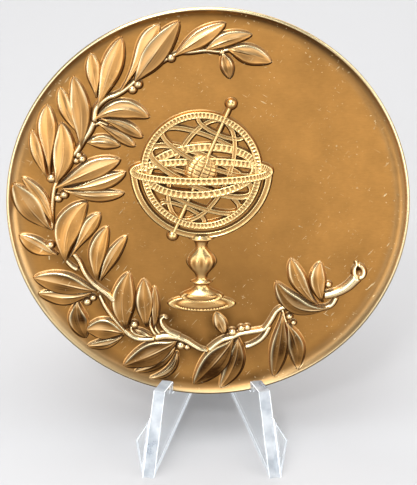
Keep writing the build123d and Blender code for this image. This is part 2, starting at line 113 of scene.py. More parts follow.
BERRY_SEAT_SHARE = 0.45
SUNK = -0.04  # outer edge of every wall, just under the field

# Emblem
EMBLEM_X = -1.2
EMBLEM_Y = 7.6
SPHERE_RADIUS = 10.2
SPHERE_TILT = math.radians(23.5)
BAR_RISE = 0.12  # graduation marks over a ring's hollow, as a share of its height
GLOBE_RADIUS = 3.0
GLOBE_SEAT = 0.5
GLOBE_RISE = 1.1
GLOBE_CARVING = 0.14
BALL_RADIUS = 0.95
BALL_SEAT = 0.4
AXIS_OVERHANG = 0.30
AXIS_HALF = 0.34
CRADLE_REACH = 1.19
CRADLE_HALF = 0.5
HORIZON_BREADTH = 0.17
HORIZON_HALF = 0.66
HORIZON_MARKS = 80
COLUMN_LENGTH = 11.2
COLUMN_SEAT = 0.35
COLUMN_RIBS = 11
COLUMN_SWELL = (0.46, 0.10)  # place of the ribbed swelling down the column, and half-length
FOOT_HALF_WIDTH = 6.2
FOOT_STEP_HEIGHT = 1.5
FOOT_BEADS = 21
BEAD_RADIUS = 0.28
BEAD_SEAT = 0.66
BEAD_PATH = 0.82  # as a share of the lower plate's size

# Steps of the foot. Columns: half-width and half-height as shares of the foot's, middle height
FOOT_PLATES = [(0.62, 0.75, 0.95), (1.0, 1.0, 0.7)]

# Moulding of a step. Columns: share of the way out, height, worn edge, dark recess
PLATE_MOULDING = [
    (0.00, 1.30, 0.1, 0.1), (0.40, 1.22, 0.4, 0.0), (0.60, 1.10, 0.3, 0.0),
    (0.70, 0.92, 0.0, 0.4), (0.76, 0.86, 0.0, 0.6), (0.82, 0.94, 0.2, 0.2),
    (0.88, 1.02, 0.6, 0.0), (0.93, 1.04, 0.8, 0.0), (0.97, 1.00, 0.7, 0.0),
    (1.00, 0.85, 0.3, 0.2),
]

# Half of a ring's band. Columns: share of its half-width, height, worn edge, dark recess
BAND = [
    (1.00, 0.93, 0.5, 0.2), (0.86, 1.00, 1.0, 0.0), (0.66, 1.00, 1.0, 0.0),
    (0.56, 0.90, 0.3, 0.3), (0.30, 0.88, 0.2, 0.4), (0.00, 0.88, 0.2, 0.4),
]

# Bronze finishes; the deep tone colours the patina of recesses and painted shade. Columns: name, body,
# tone of worn edges and painted highlights, mottling, grain, handling marks
DEEP_TONE = (0.036, 0.012, 0.002, 1)
EDGE_TINT = (1.0, 0.70, 0.36, 1)
BRONZES = [
    ("field_bronze", (0.42, 0.204, 0.053, 1), (0.96, 0.81, 0.48, 1), 0.70, 1.0, 0.70),
    ("relief_bronze", (0.48, 0.24, 0.068, 1), (0.97, 0.84, 0.52, 1), 0.35, 0.8, 0.35),
    ("emblem_bronze", (0.46, 0.22, 0.060, 1), (0.90, 0.67, 0.31, 1), 0.35, 0.8, 0.20),
]

# Handling marks: one noise of specks and two of scratches.
# Columns: turn, how far the noise is drawn out, its scale, the value where a mark starts
MARKS = [(0.0, 1.0, 2.2, 0.71), (0.9, 8.0, 2.8, 0.72), (-0.5, 10.0, 3.4, 0.73)]

# Acrylic finishes. Columns: name, transmission, least roughness, spread of the roughness, tone,
# duller tone, painted glow
ACRYLICS = [
    ("clear_acrylic", 1.0, 0.01, 0.08, (0.94, 0.965, 0.985, 1), (0.86, 0.90, 0.94, 1), 0.04),
    ("satin_acrylic", 0.70, 0.16, 0.30, (0.72, 0.75, 0.78, 1), (0.26, 0.30, 0.35, 1), 0.02),
    ("edge_acrylic", 0.20, 0.18, 0.20, (0.95, 0.98, 1.0, 1), (0.90, 0.94, 0.98, 1), 0.58),
]
ACRYLIC_IOR = 1.49
EDGE_ROUNDING = 0.18

# Lights and camera, in metres. Columns: name, place, width, height, power
LIGHTS = [
    ("overhead", (-0.08, 0.05, 0.60), 0.50, 0.40, 3.2),
    ("front_high", (-0.22, -0.78, 0.48), 0.90, 0.50, 3.6),
    ("front_right", (0.46, -0.70, 0.12), 0.60, 0.30, 2.1),
    ("front_left", (-0.44, -0.71, 0.11), 0.44, 0.26, 1.22),
    ("side_right", (0.75, -0.45, 0.15), 0.40, 0.50, 1.4),
    ("side_left", (-0.75, -0.40, 0.15), 0.40, 0.50, 0.9),
    ("side_high", (0.64, -0.02, 0.46), 0.50, 0.50, 1.7),
    ("back_high", (0.05, 0.75, 0.38), 0.90, 0.40, 2.5),
    ("key", (-0.16, -0.36, 0.62), 0.12, 0.12, 1.2),
]
LIGHT_AIM = (0, 0, 0.045)
SURROUND_TINT = (1.0, 0.99, 0.97, 1)
SURROUND_STRENGTH = 0.25
FLOOR_REACH = 3.0
CAMERA_PLACE = (0.00009, -0.152377, 0.149950)
CAMERA_DOWN = math.radians(35.657)
CAMERA_LENS = 76.586

# Laurel leaves on the face: x to the right, y up, from the medal's middle.
# Columns: base x, base y, tip x, tip y, bow to the left, left half-width, right half-width,
# place of the widest point from base to tip, layer
LEAVES = [
    (3.5, 29.3, 10.8, 27.1, 0.35, 1.55, 1.8, 0.5, 1),
    (2.6, 28.6, 3.8, 24.4, 0.0, 1.2, 1.0, 0.52, 0),
    (-0.3, 29.3, 7.3, 31.7, 0.35, 1.5, 1.05, 0.5, 1),
    (-5.7, 28.3, 2.8, 33.6, 0.15, 1.5, 1.6, 0.55, 2),
    (-12.7, 23.8, -5.1, 33.8, 0.1, 2.05, 2.15, 0.5, 2),
    (-15.5, 21.7, -8.5, 33.3, -0.2, 1.85, 1.2, 0.75, 0),
    (-19.3, 19.4, -15.0, 31.1, 0.0, 1.75, 1.85, 0.6, 2),
    (-19.5, 21.1, -20.2, 28.4, 0.0, 1.25, 1.3, 0.62, 0),
    (-22.6, 12.0, -23.4, 24.3, -0.7, 1.9, 1.65, 0.55, 1),
    (-23.0, 14.7, -25.8, 22.4, 0.35, 1.25, 1.2, 0.6, 0),
    (-28.3, 7.2, -28.2, 19.4, 0.15, 1.75, 1.55, 0.68, 1),
    (-27.3, 5.6, -25.9, 16.2, -0.88, 1.98, 1.98, 0.52, 2),
    (-28.9, 6.7, -31.1, 14.8, 0.3, 1.05, 1.1, 0.6, 0),
    (-27.4, 4.6, -15.9, 9.6, 0.25, 1.9, 1.75, 0.62, 3),
    (-26.0, 4.5, -15.0, 7.2, -0.75, 1.3, 1.35, 0.66, 2),
    (-25.9, 4.2, -15.4, 3.4, -0.75, 1.1, 1.15, 0.6, 1),
    (-19.8, 17.2, -10.6, 17.4, 1.55, 1.7, 1.7, 0.55, 2),
    (-18.7, 17.2, -11.8, 13.8, 0.4, 1.1, 1.1, 0.62, 1),
    (-19.3, 16.3, -13.2, 12.2, 0.1, 0.9, 0.9, 0.65, 0),
    (-21.4, 12.9, -15.9, 12.2, 0.4, 1.25, 1.25, 0.5, 0),
    (-28.5, -3.3, -34.8, 5.1, 0.5, 2.1, 2.25, 0.55, 2),
    (-28.3, -2.0, -33.2, 6.3, -0.7, 1.2, 1.15, 0.55, 1),
    (-26.2, -9.5, -22.1, 1.7, 1.5, 2.55, 2.25, 0.55, 2),
    (-25.3, -8.5, -19.8, -0.5, 0.0, 1.5, 1.1, 0.7, 1),
    (-27.9, -8.1, -34.3, -4.6, 0.1, 1.85, 1.3, 0.55, 1),
    (-20.5, -13.1, -18.4, -3.1, 0.8, 1.75, 1.45, 0.55, 2),
    (-20.0, -13.2, -15.1, -4.9, 0.3, 1.15, 1.15, 0.55, 1),
    (-21.0, -15.2, -32.1, -12.8, 0.0, 2.2, 2.2, 0.55, 2),
    (-21.9, -15.7, -31.3, -15.9, 0.8, 1.65, 1.4, 0.55, 1),
    (-24.4, -17.6, -23.2, -24.8, -0.57, 1.72, 1.9, 0.52, 0),
    (-15.8, -23.7, -22.8, -23.3, -0.4, 2.15, 2.15, 0.55, 2),
    (-16.3, -24.5, -22.6, -26.5, 0.6, 1.0, 1.0, 0.55, 1),
    (-15.4, -23.0, -14.7, -12.0, 0.95, 2.05, 2.3, 0.5, 2),
    (-11.6, -22.5, -11.9, -13.3, 0.1, 1.65, 1.65, 0.52, 2),
    (-10.1, -22.8, -10.0, -14.8, -0.2, 0.8, 0.75, 0.55, 1),
    (-10.5, -24.5, -13.7, -23.2, 0.1, 0.45, 0.45, 0.6, 2),
    (-6.0, -25.5, -15.9, -30.6, 0.25, 2.35, 2.35, 0.5, 2),
    (-6.3, -26.8, -13.8, -31.9, 0.9, 1.1, 1.1, 0.5, 1),
    (-5.9, -28.1, -10.9, -33.3, 1.45, 0.75, 0.75, 0.5, 0),
    (4.7, -25.1, -2.6, -34.4, 0.3, 2.4, 2.4, 0.5, 2),
    (5.6, -25.1, 2.5, -35.0, 0.9, 1.9, 1.7, 0.5, 1),
    (3.3, -24.1, 1.6, -20.1, 0.1, 1.1, 1.1, 0.5, 0),
    (14.0, -19.9, 12.6, -32.7, 0.2, 1.75, 1.6, 0.58, 1),
    (14.9, -21.9, 17.1, -31.0, 0.65, 1.6, 1.6, 0.55, 1),
    (22.6, -18.5, 12.8, -13.9, 2.5, 1.65, 1.95, 0.58, 3),
    (20.4, -18.0, 15.4, -9.3, 0.8, 1.48, 1.48, 0.62, 2),
    (21.4, -17.5, 20.7, -9.9, 0.65, 1.48, 1.48, 0.55, 1),
]

# Leaves made darker as a whole. Columns: row above from 0, share
DARKER_LEAVES = [(4, 0.42), (8, 0.45), (20, 0.60), (27, 0.16), (36, 0.20), (39, 0.24),
                (44, 0.34)]

# Stems, petioles and the tendril.
# Columns: half-width at the start, half-width at the end, points along the stem
STEMS = [
    (0.8, 0.55, [(27.8, -12.6), (26.2, -14.4), (24.6, -15.5), (23.0, -16.1), (21.6, -16.4)]),
    (0.42, 0.16, [(27.7, -13.0), (27.15, -12.1), (27.15, -11.0), (27.5, -10.3), (27.3, -9.5)]),
    (0.42, 0.26, [(27.9, -13.0), (28.7, -12.4), (28.85, -11.6), (28.5, -10.8), (27.6, -10.2)]),
    (0.35, 0.45, [(24.0, -16.6), (23.3, -18.0), (22.0, -18.8), (20.2, -19.1)]),
    (0.35, 0.45, [(15.2, -18.9), (14.0, -18.8), (12.9, -19.5), (12.0, -21.1), (11.1, -22.6),
        (10.2, -23.3), (8.1, -23.7), (6.1, -24.1), (4.6, -24.8), (2.9, -25.3), (1.5, -26.2),
        (0.0, -27.6)]),
    (0.3, 0.55, [(0.1, -27.7), (-1.5, -27.3), (-2.8, -26.5), (-4.1, -25.6), (-5.4, -25.0), (-6.7, -24.7),
        (-8.4, -24.6), (-10.2, -25.0)]),
    (0.45, 0.25, [(-10.0, -25.0), (-12.0, -25.2), (-13.6, -25.0), (-15.1, -24.1), (-16.8, -22.2),
        (-18.2, -20.3), (-19.4, -18.4), (-20.3, -16.2)]),
    (0.45, 0.28, [(-17.4, -17.6), (-18.9, -16.0), (-20.3, -14.9), (-21.5, -13.8), (-22.8, -12.0),
        (-23.8, -9.6), (-24.9, -8.0)]),
    (0.35, 0.22, [(-24.1, -11.3), (-25.4, -10.4), (-26.6, -9.0)]),
    (0.25, 0.45, [(-28.5, -3.6), (-28.4, -0.2), (-28.1, 2.3), (-27.6, 4.6), (-26.4, 7.4), (-24.6, 9.9),
        (-23.3, 11.4), (-22.2, 13.1), (-21.0, 14.8), (-20.1, 16.6)]),
    (0.45, 0.3, [(-20.1, 16.5), (-19.6, 19.0), (-17.8, 20.7), (-16.0, 21.4), (-14.2, 22.5),
        (-12.6, 23.9)]),
    (0.28, 0.28, [(-9.4, 26.3), (-6.6, 27.9), (-4.8, 28.7), (-3.0, 28.8), (-0.3, 29.1), (1.8, 28.9),
        (3.4, 29.2), (4.8, 29.3)]),
    (0.22, 0.22, [(-10.8, -20.4), (-10.9, -22.4), (-10.2, -24.1), (-9.2, -24.6)]),
    (0.2, 0.2, [(-10.1, -21.5), (-9.9, -23.2), (-9.1, -24.3)]),
    (0.45, 0.14, [(-5.2, -24.9), (-6.4, -24.3), (-7.7, -23.6), (-8.6, -22.5), (-8.9, -21.4),
        (-8.3, -20.8), (-7.7, -21.2)]),
    (0.2, 0.2, [(-10.8, -25.1), (-12.0, -24.7), (-13.6, -24.3), (-14.5, -23.5), (-14.4, -22.5)]),
    (0.38, 0.38, [(7.0, -26.8), (8.2, -26.4), (9.8, -25.4), (10.9, -24.1), (11.6, -22.5)]),
    (0.22, 0.22, [(13.9, -19.1), (14.4, -21.0), (15.1, -23.1), (15.4, -25.7)]),
    (0.25, 0.25, [(-20.2, 15.9), (-19.0, 16.4), (-17.6, 15.9)]),
]

# Hollow of the torn end: its middle, and its half-width and half-length
TORN_END = (28.0, -11.6)
TORN_HALF = (0.72, 1.20)

# Berries. Columns: x, y, radius
BERRIES = [
    (-6.4, 27.8, 0.70), (2.4, 28.8, 0.55), (4.4, 29.4, 0.38), (-12.2, 23.2, 0.70),
    (-13.2, 22.3, 0.70), (-28.1, 6.3, 0.80), (-23.1, 10.5, 0.60), (-22.5, 9.8, 0.65),
    (-23.6, 9.5, 0.55), (-26.0, 3.2, 0.72), (-27.1, 2.5, 0.68), (-28.9, -6.4, 0.68),
    (-22.6, -17.6, 0.72), (-21.5, -16.8, 0.60), (-13.9, -22.2, 0.70), (-5.2, -26.5, 0.78),
    (-4.0, -26.9, 0.55), (4.6, -23.8, 0.75), (6.3, -23.1, 0.68), (7.4, -22.9, 0.60),
    (22.4, -14.2, 0.58), (15.3, -20.6, 0.62), (16.1, -21.9, 0.50),
]

# Rings of the armillary sphere, as shares of its radius. Columns: half length, half breadth,
# shift along the polar axis, turn in degrees from the polar axis's square, half-width in
# millimetres, middle height, rise of the near side over the far side, graduation marks
RINGS = [
    (1.00, 1.000, 0.000, 0.0, 0.58, 1.10, 0.00, 96),
    (0.97, 0.280, 0.000, 0.0, 0.50, 0.90, 0.70, 0),
    (0.90, 0.250, 0.380, 0.0, 0.38, 0.72, 0.56, 0),
    (0.90, 0.250, -0.380, 0.0, 0.38, 0.72, 0.56, 0),
    (0.42, 0.130, 0.850, 0.0, 0.33, 0.70, 0.40, 0),
    (0.42, 0.130, -0.850, 0.0, 0.33, 0.70, 0.40, 0),
    (0.95, 0.420, 0.000, 28.0, 0.72, 0.95, 0.80, 60),
    (0.97, 0.480, 0.000, 90.0, 0.36, 0.66, 0.50, 0),
]

# Turned column. Columns: place down the column, half-width as a share of the foot's half-width
COLUMN = [
    (0.00, 0.22), (0.06, 0.34), (0.11, 0.18), (0.22, 0.15), (0.36, 0.36), (0.46, 0.42),
    (0.56, 0.34), (0.68, 0.16), (0.76, 0.15), (0.81, 0.30), (0.86, 0.18), (0.93, 0.26),
    (1.00, 0.52),
]

# Wall that joins every relief form to the field, from its edge outwards; its dark recess is painted
# shade along the foot.
# Columns: distance from the edge, height as a share of the edge's, worn edge, dark recess
WALL = [
    (0.03, 0.94, 0.60, 0.10), (0.07, 0.62, 0.10, 0.70), (0.10, 0.28, 0.00, 1.20),
    (0.16, 0.07, 0.00, 1.30), (0.30, 0.01, 0.00, 0.95), (0.48, 0.00, 0.00, 0.35),
]

# Shapes

def ramp(value, start, end):
    """Straight rise from nothing at start to one at end, level beyond both."""
    return np.clip((value - start) / (end - start), 0, 1)


def bell(value, middle, width):
    """Gaussian: one at the middle, falling with the square of the way from it in widths."""
    return np.exp(-((value - middle) / width) ** 2)


def columns_of(rows):
    """Columns of a table, each standing upright for a grid's rows."""
    return np.array(rows).T[..., None]


def sunk(share):
    """Drop of a wall's outermost ring, the one whose height is nothing, under the field."""
    return np.where(share <= 0, SUNK, 0.0)


def field_height(x, y):
    """Height of the field: level in the middle, then a dish that rises with the square of the
    way to the crest, and a cove that rises with the sixth power of the way across its width."""
    radius = np.hypot(x, y)
    dish = ramp(radius, FLAT_RADIUS, CREST_RADIUS) ** 2
    cove = ramp(radius, COVE_START, CREST_RADIUS) ** COVE_POWER
    return DISH_RISE * dish + (CREST_HEIGHT - DISH_RISE) * cove


def on_face(x, y, height):
    """Points of the leaning medal in metres from places on its face and heights over it."""
    x, y, height = np.broadcast_arrays(x, y, height)
    place = x[..., None] * FACE_RIGHT + y[..., None] * FACE_UP + height[..., None] * FACE_OUT
    return (FACE_MIDDLE + place) * MM


def raised(x, y, level):
    """Points in metres at places on the face and heights over the field there."""
    return on_face(x, y, field_height(x, y) + level)


def grid_faces(rows, columns, closed):
    """Quads of a grid, row by row; closed joins the last column to the first."""
    row = np.arange(rows - 1)[:, None]
    column = np.arange(columns if closed else columns - 1)[None, :]
    after = (column + 1) % columns
    low, high = row * columns, (row + 1) * columns
    return np.stack([low + column, low + after, high + after, high + column], -1).reshape(-1, 4)


def circle(sides):
    """Angles once round, clockwise as the face is seen, so that the faces look outwards."""
    return -np.linspace(0, 2 * math.pi, sides, endpoint=False)[None, :]


def paint_light_and_shade(mesh, painted_light_share):
    """Painted light and shade from above, a little from the left: the mask of wear and highlight grows
    with the lean of the surface's normal that way, as a painted highlight, and the dark mask grows with
    its lean away, as painted shade."""
    normals = np.empty(len(mesh.vertices) * 3, np.float32)
    mesh.vertex_normals.foreach_get("vector", normals)
    normals = normals.reshape(-1, 3)
    front = np.clip(normals @ FACE_OUT * 4, 0, 1)
    leaning = normals @ (PAINTED_LIGHT_UP * FACE_UP - PAINTED_LIGHT_LEFT * FACE_RIGHT)
    # painted highlight on faces that lean up, painted shade on those that lean down
    bright = 0.45 * painted_light_share * front * np.clip(1.6 * leaning - 0.20, 0, 1)
    dark = 0.65 * front * np.clip(-2.5 * leaning - 0.08, 0, 1)
    for mask, share, extra in (("wear_and_highlight", 0.72 + 0.9 * leaning, bright),
                               ("recess_and_shade", 0.70 - 0.7 * leaning, dark)):
        layer = mesh.attributes[mask].data
        values = np.empty(len(layer), np.float32)
        layer.foreach_get("value", values)
        layer.foreach_set("value", np.clip(values * np.clip(share, 0.08, 1.2) + extra, 0, 1))


def new_object(name, data):
    """Object with a mesh, light or camera, at the scene's origin."""
    thing = bpy.data.objects.new(name, data)
    bpy.context.scene.collection.objects.link(thing)
    return thing


def new_piece(name, mesh, node):
    """Visible piece that rides the one body and takes a solid's place."""
    piece = new_object(name, mesh)
    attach(piece, "root")
    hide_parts(node)


def relief(name, patches, material, painted_light_share=1.0):
    """One piece from patches: each is a grid of points, closed or not, with its masks."""
    points, faces, masks, start = [], [], {"wear_and_highlight": [], "recess_and_shade": []}, 0
    for grid, closed, wear_and_highlight, recess_and_shade in patches:
        rows, columns = grid.shape[:2]
        points.append(grid.reshape(-1, 3))
        faces.append(grid_faces(rows, columns, closed) + start)
        for mask, values in (("wear_and_highlight", wear_and_highlight), ("recess_and_shade", recess_and_shade)):
            masks[mask].append(np.broadcast_to(values, (rows, columns)).ravel())
        start += rows * columns
    mesh = bpy.data.meshes.new(name)
    mesh.from_pydata(np.vstack(points), [], np.vstack(faces))
    for mask, values in masks.items():
        layer = mesh.attributes.new(mask, "FLOAT", "POINT")
        layer.data.foreach_set("value", np.hstack(values).astype(np.float32))
    shape = bmesh.new()
    shape.from_mesh(mesh)
    bmesh.ops.remove_doubles(shape, verts=shape.verts, dist=1e-8)
    shape.to_mesh(mesh)
    shape.free()
    mesh.shade_smooth()
    paint_light_and_shade(mesh, painted_light_share)
    mesh.materials.append(material)
    new_piece(name, mesh, "medal")


def smooth_path(points, count):
    """Path through the points in which each span is a cubic that leaves and meets its ends
    along the line between their neighbours."""
    points = np.asarray(points, float)
    ends = np.vstack([2 * points[0] - points[1], points, 2 * points[-1] - points[-2]])
    along = np.linspace(0, len(points) - 1, count)
    span = np.minimum(along.astype(int), len(points) - 2)
    part = (along - span)[:, None]
    before, first, second, after = (ends[span + step] for step in range(4))
    return 0.5 * (2 * first + (second - before) * part
                  + (2 * before - 5 * first + 4 * second - after) * part ** 2
                  + (3 * first - before - 3 * second + after) * part ** 3)


def path_sides(path, closed=False):
    """Unit vectors to the left of a path, square to the line between each point's neighbours."""
    if closed:
        along = np.roll(path, -1, 0) - np.roll(path, 1, 0)
    else:
        along = np.gradient(path, axis=0)
    along = along / np.linalg.norm(along, axis=1, keepdims=True)
    return np.stack([-along[:, 1], along[:, 0]], 1)


def branch_nearness(x, y):
    """Bell of the way to the nearest of the stems' points and the leaves' bases and middles."""
    leaves = np.array(LEAVES)
    middles = (leaves[:, 0:2] + leaves[:, 2:4]) / 2
    nearest = np.full(x.shape, 100.0)
    for spot_x, spot_y in np.vstack([leaves[:, 0:2], middles] + [row[2] for row in STEMS]):
        nearest = np.minimum(nearest, np.hypot(x - spot_x, y - spot_y))
    return bell(nearest, 0, BRANCH_SHADE_REACH)


def disc_profile():
    """Radius and height from the face's middle over the crest and down the edge to the middle
    of the reverse."""
    field = np.hstack([np.linspace(0, COVE_START, 40),
                       np.linspace(COVE_START, CREST_RADIUS, 26)[1:]])
    turn = np.linspace(0, math.pi / 2, 9)[1:]
    reverse = BACK_LEVEL + REVERSE_RIM_HEIGHT
    lower = [(RADIUS - EDGE_DRAFT / 2, (CREST_HEIGHT + BACK_LEVEL) / 2),
             (RADIUS - EDGE_DRAFT, BACK_LEVEL + CREST_INSET), (BACK_RADIUS + 0.3, BACK_LEVEL + 0.12),
             (BACK_RADIUS, BACK_LEVEL), (REVERSE_RADIUS, BACK_LEVEL),
             (REVERSE_RADIUS - 0.1, BACK_LEVEL + 0.05),
             (REVERSE_RADIUS - REVERSE_RIM_HEIGHT, reverse), (REVERSE_RADIUS - 1.0, reverse)]
    lower = np.array(lower + [(REVERSE_RADIUS * share, reverse) for share in (0.7, 0.4, 0.15, 0)])
    radius = np.hstack([field, CREST_RADIUS + CREST_INSET * np.sin(turn), lower[:, 0]])
    bevel = CREST_HEIGHT - CREST_INSET * (1 - np.cos(turn))
    height = np.hstack([field_height(field, 0 * field), bevel, lower[:, 1]])
    return radius[:, None], height[:, None]


def medal_disc(material):
    """Disc: its profile of radius and height carried round the circle. The crest is worn, less so at the
    bottom as painted shade, and its bright line reaches further in towards the bottom as a painted
    highlight; the cove has a painted sheen at the sides. The field has painted shade at the top right
    and by the branch and is darker in the places listed, and the cove has painted shade at the bottom
    and in a band on the right."""
    radius, height = disc_profile()
    angle = circle(DISC_SIDES)
    x, y = radius * np.cos(angle), radius * np.sin(angle)
    grid = on_face(x, y, height + 0 * angle)
    front = height >= 0
    cove = ramp(radius, COVE_START, CREST_RADIUS)
    downward = np.clip(-np.sin(angle), 0, 1)
    rightward = np.clip(np.cos(angle), 0, 1)
    # the crest's bright line reaches further in towards the bottom, a painted highlight, and is fainter
    # at the bottom, painted shade
    reach = CREST_WEAR_HALF + 0.10 * ramp(np.sin(angle), 0.4, -0.6) * (radius < CREST_RADIUS)
    crest = bell(radius, CREST_RADIUS + 0.12, reach) * (height > 0.5) * (1 - 0.65 * downward)
    # painted sheen on the cove at the sides
    cove_sheen = (0.19 - 0.11 * np.cos(angle)) * cove ** 2 + 0.35 * cove ** 8
    cove_sheen += 0.08 * rightward * bell(cove, 0.48, 0.12)
    wear_and_highlight = np.maximum(crest, cove_sheen * np.abs(np.cos(angle)) * (height > 0.1))
    # painted shade at the top right of the field, then the darker listed spots, then painted shade in a
    # band of the right cove and over the bottom cove
    darkened = 0.16 * ramp(y, 14, 28) * ramp(x, -4, 8)
    for share, middle_x, middle_y, half_width, half_height in DARKER_FIELD:
        darkened += share * bell(x, middle_x, half_width) * bell(y, middle_y, half_height)
    darkened += 0.20 * rightward * bell(cove, 0.74, 0.12) + 1.8 * cove * downward
    # painted shade on the field by the branch, stronger towards the lower left
    low_left = np.maximum(ramp(y, 4, -10), 0.25) * np.maximum(ramp(x, 16, 2), 0.25)
    branch_shade = branch_nearness(x, y) * low_left
    reverse = 0.5 * (height < CREST_HEIGHT - 1.6) * (radius > REVERSE_RADIUS)
    recess_and_shade = reverse + (darkened + branch_shade) * front
    relief("medal_disc", [(grid, True, wear_and_highlight, recess_and_shade)], material, DISC_PAINTED_LIGHT)


def leaf_rounds():
    """Rings round each leaf, up its left side and down its right, at shares of the blade inside
    the lip and of the lip's width outside it. The midrib is a parabola. The half-width is a
    sine of the way to the tip, with its top at the widest point, to a power that falls towards
    the tip. The upper lip is the narrower one."""
    rows = np.array(LEAVES)
    base, tip = rows[:, None, 0:2], rows[:, None, 2:4]
    bow, left, right, widest, layer = (rows[:, 4 + column, None] for column in range(5))
    way = 0.5 - 0.5 * np.cos(np.linspace(0, math.pi, LEAF_STATIONS))[None, :]
    run = tip - base
    length = np.linalg.norm(run, axis=2, keepdims=True)
    leftward = np.stack([-run[..., 1], run[..., 0]], -1) / length
    midrib = base + way[..., None] * run + (4 * way * (1 - way) * bow)[..., None] * leftward
    along = np.gradient(midrib, axis=1)
    along /= np.linalg.norm(along, axis=2, keepdims=True)
    across = np.stack([-along[..., 1], along[..., 0]], -1)
    warped = way ** (math.log(0.5) / np.log(widest))
    taper = BASE_TAPER + (TIP_TAPER - BASE_TAPER) * way
    fullness = np.maximum(np.sin(math.pi * warped), 0.0) ** taper
    steepness = np.gradient(fullness, axis=1) / np.gradient(way * length[..., 0], axis=1)

    fan = np.radians([45.0, 0.0, -45.0])
    order = np.arange(LEAF_STATIONS)
    station = np.hstack([order, [LEAF_STATIONS - 1] * 3, order[::-1], [0] * 3])
    out_along = np.hstack([0 * order, np.cos(fan), 0 * order, -np.cos(fan)])
    out_across = np.hstack([0 * order + 1, np.sin(fan), 0 * order - 1, -np.sin(fan)])
    half = np.where(out_across >= 0, left, right)
    full = fullness[:, station]
    width = LEAF_END_HALF + full * (half - LEAF_END_HALF)
    on_side = np.abs(out_along) < 1e-9
    lean = np.where(on_side, -half * steepness[:, station], out_along)
    outward = along[:, station] * out_along[:, None] + across[:, station] * out_across[:, None]
    normal = along[:, station] * lean[..., None] + across[:, station] * out_across[:, None]
    normal /= np.linalg.norm(normal, axis=2, keepdims=True)

    upper = np.clip(0.5 + 0.65 * normal[..., 1] - 0.2 * normal[..., 0], 0, 1)
    lip = LOW_LIP_WIDTH + (LIP_WIDTH - LOW_LIP_WIDTH) * upper
    lip *= np.clip(width / 1.3, 0.12, 1)
    inner = np.array([0, .05, .10, .16, .25, .36, .48, .60, .72, .82, .90, .96])[:, None, None]
    outer = np.array([0, .10, .22, .36, .52, .68, .82, .93, 1.0])[:, None, None]
    from_rib = np.vstack([inner * (width - lip), width - lip * (1 - outer)])
    spot = midrib[:, station] + from_rib[..., None] * outward
    return SimpleNamespace(
        x=spot[..., 0], y=spot[..., 1], normal=normal, upper=upper, full=full,
        way=way[:, station], layer=layer, side=np.where(out_across >= 0, 1.0, -1.0), lip=lip,
        blade=width - lip, from_rib=from_rib, from_edge=width - from_rib)


def leaf_heights(leaf):
    """Heights of the leaves. The edge is a quarter circle up to the lip, which falls to the tip
    in a slight wave. Inside it, with inward from 0 at the lip to 1 at the midrib, the blade
    sinks by its hollow times 2.6 inward^0.5 (1 - inward) and rises by the crown times
    inward^1.5. The midrib is raised between grooves, each half has up to two creases, and a
    wave along the leaf twists it."""
    number = np.arange(len(LEAVES))[:, None]
    leaf.rise = np.sqrt(1 - (1 - np.clip(leaf.from_edge / leaf.lip, 0, 1)) ** 2)
    leaf.inward = np.clip((leaf.from_edge - leaf.lip) / leaf.blade, 0, 1)
    leaf.dip = 2.6 * np.sqrt(leaf.inward) * (1 - leaf.inward)
    leaf.edge = LEAF_BASE_HEIGHT + (LEAF_TIP_HEIGHT - LEAF_BASE_HEIGHT) * leaf.way ** 1.3
    leaf.edge = leaf.edge * (0.7 + 0.3 * ramp(leaf.way, 0, 0.12)) + leaf.layer * LIFT_STEP
    wave = np.sin(2 * math.pi * (1.7 * leaf.way + number * 0.37))
    leaf.edge += LEAF_WAVE * wave * leaf.full
    leaf.rib_fade = ramp(leaf.way, 0.62, 0.37) * leaf.full
    leaf.groove = bell(leaf.from_rib, GROOVE_PLACE, 0.08) * leaf.rib_fade
    share = leaf.from_rib / leaf.blade
    near, far = (bell(share, place, CREASE_HALF) for place in CREASE_PLACES)
    leaf.crease = near * (0.5 + 0.5 * np.sin(number * 5.1 + 1.3 * leaf.side))
    leaf.crease += far * (0.4 - 0.4 * np.sin(number * 3.7 - leaf.side))
    leaf.crease *= ramp(leaf.way, 0.80, 0.45) * leaf.full
    deeper = 0.6 + 0.8 * (number * 0.618 % 1)
    hollow = LEAF_HOLLOW * deeper * (0.05 + 1.25 * leaf.upper) * leaf.dip
    blade = leaf.full * (LEAF_CROWN * leaf.inward ** 1.5 - hollow)
    blade += RIB_HEIGHT * bell(leaf.from_rib, 0, RIB_HALF) * leaf.rib_fade
    blade -= GROOVE_DEPTH * leaf.groove + CREASE_DEPTH * leaf.crease
    twist = LEAF_TWIST * np.sin(6.5 * leaf.way + number * 2.4) * leaf.side * leaf.from_rib
    lifted = leaf.edge * (LIP_FOOT + (1 - LIP_FOOT) * leaf.rise)
    return field_height(leaf.x, leaf.y) + lifted + blade + twist * leaf.rise * leaf.full


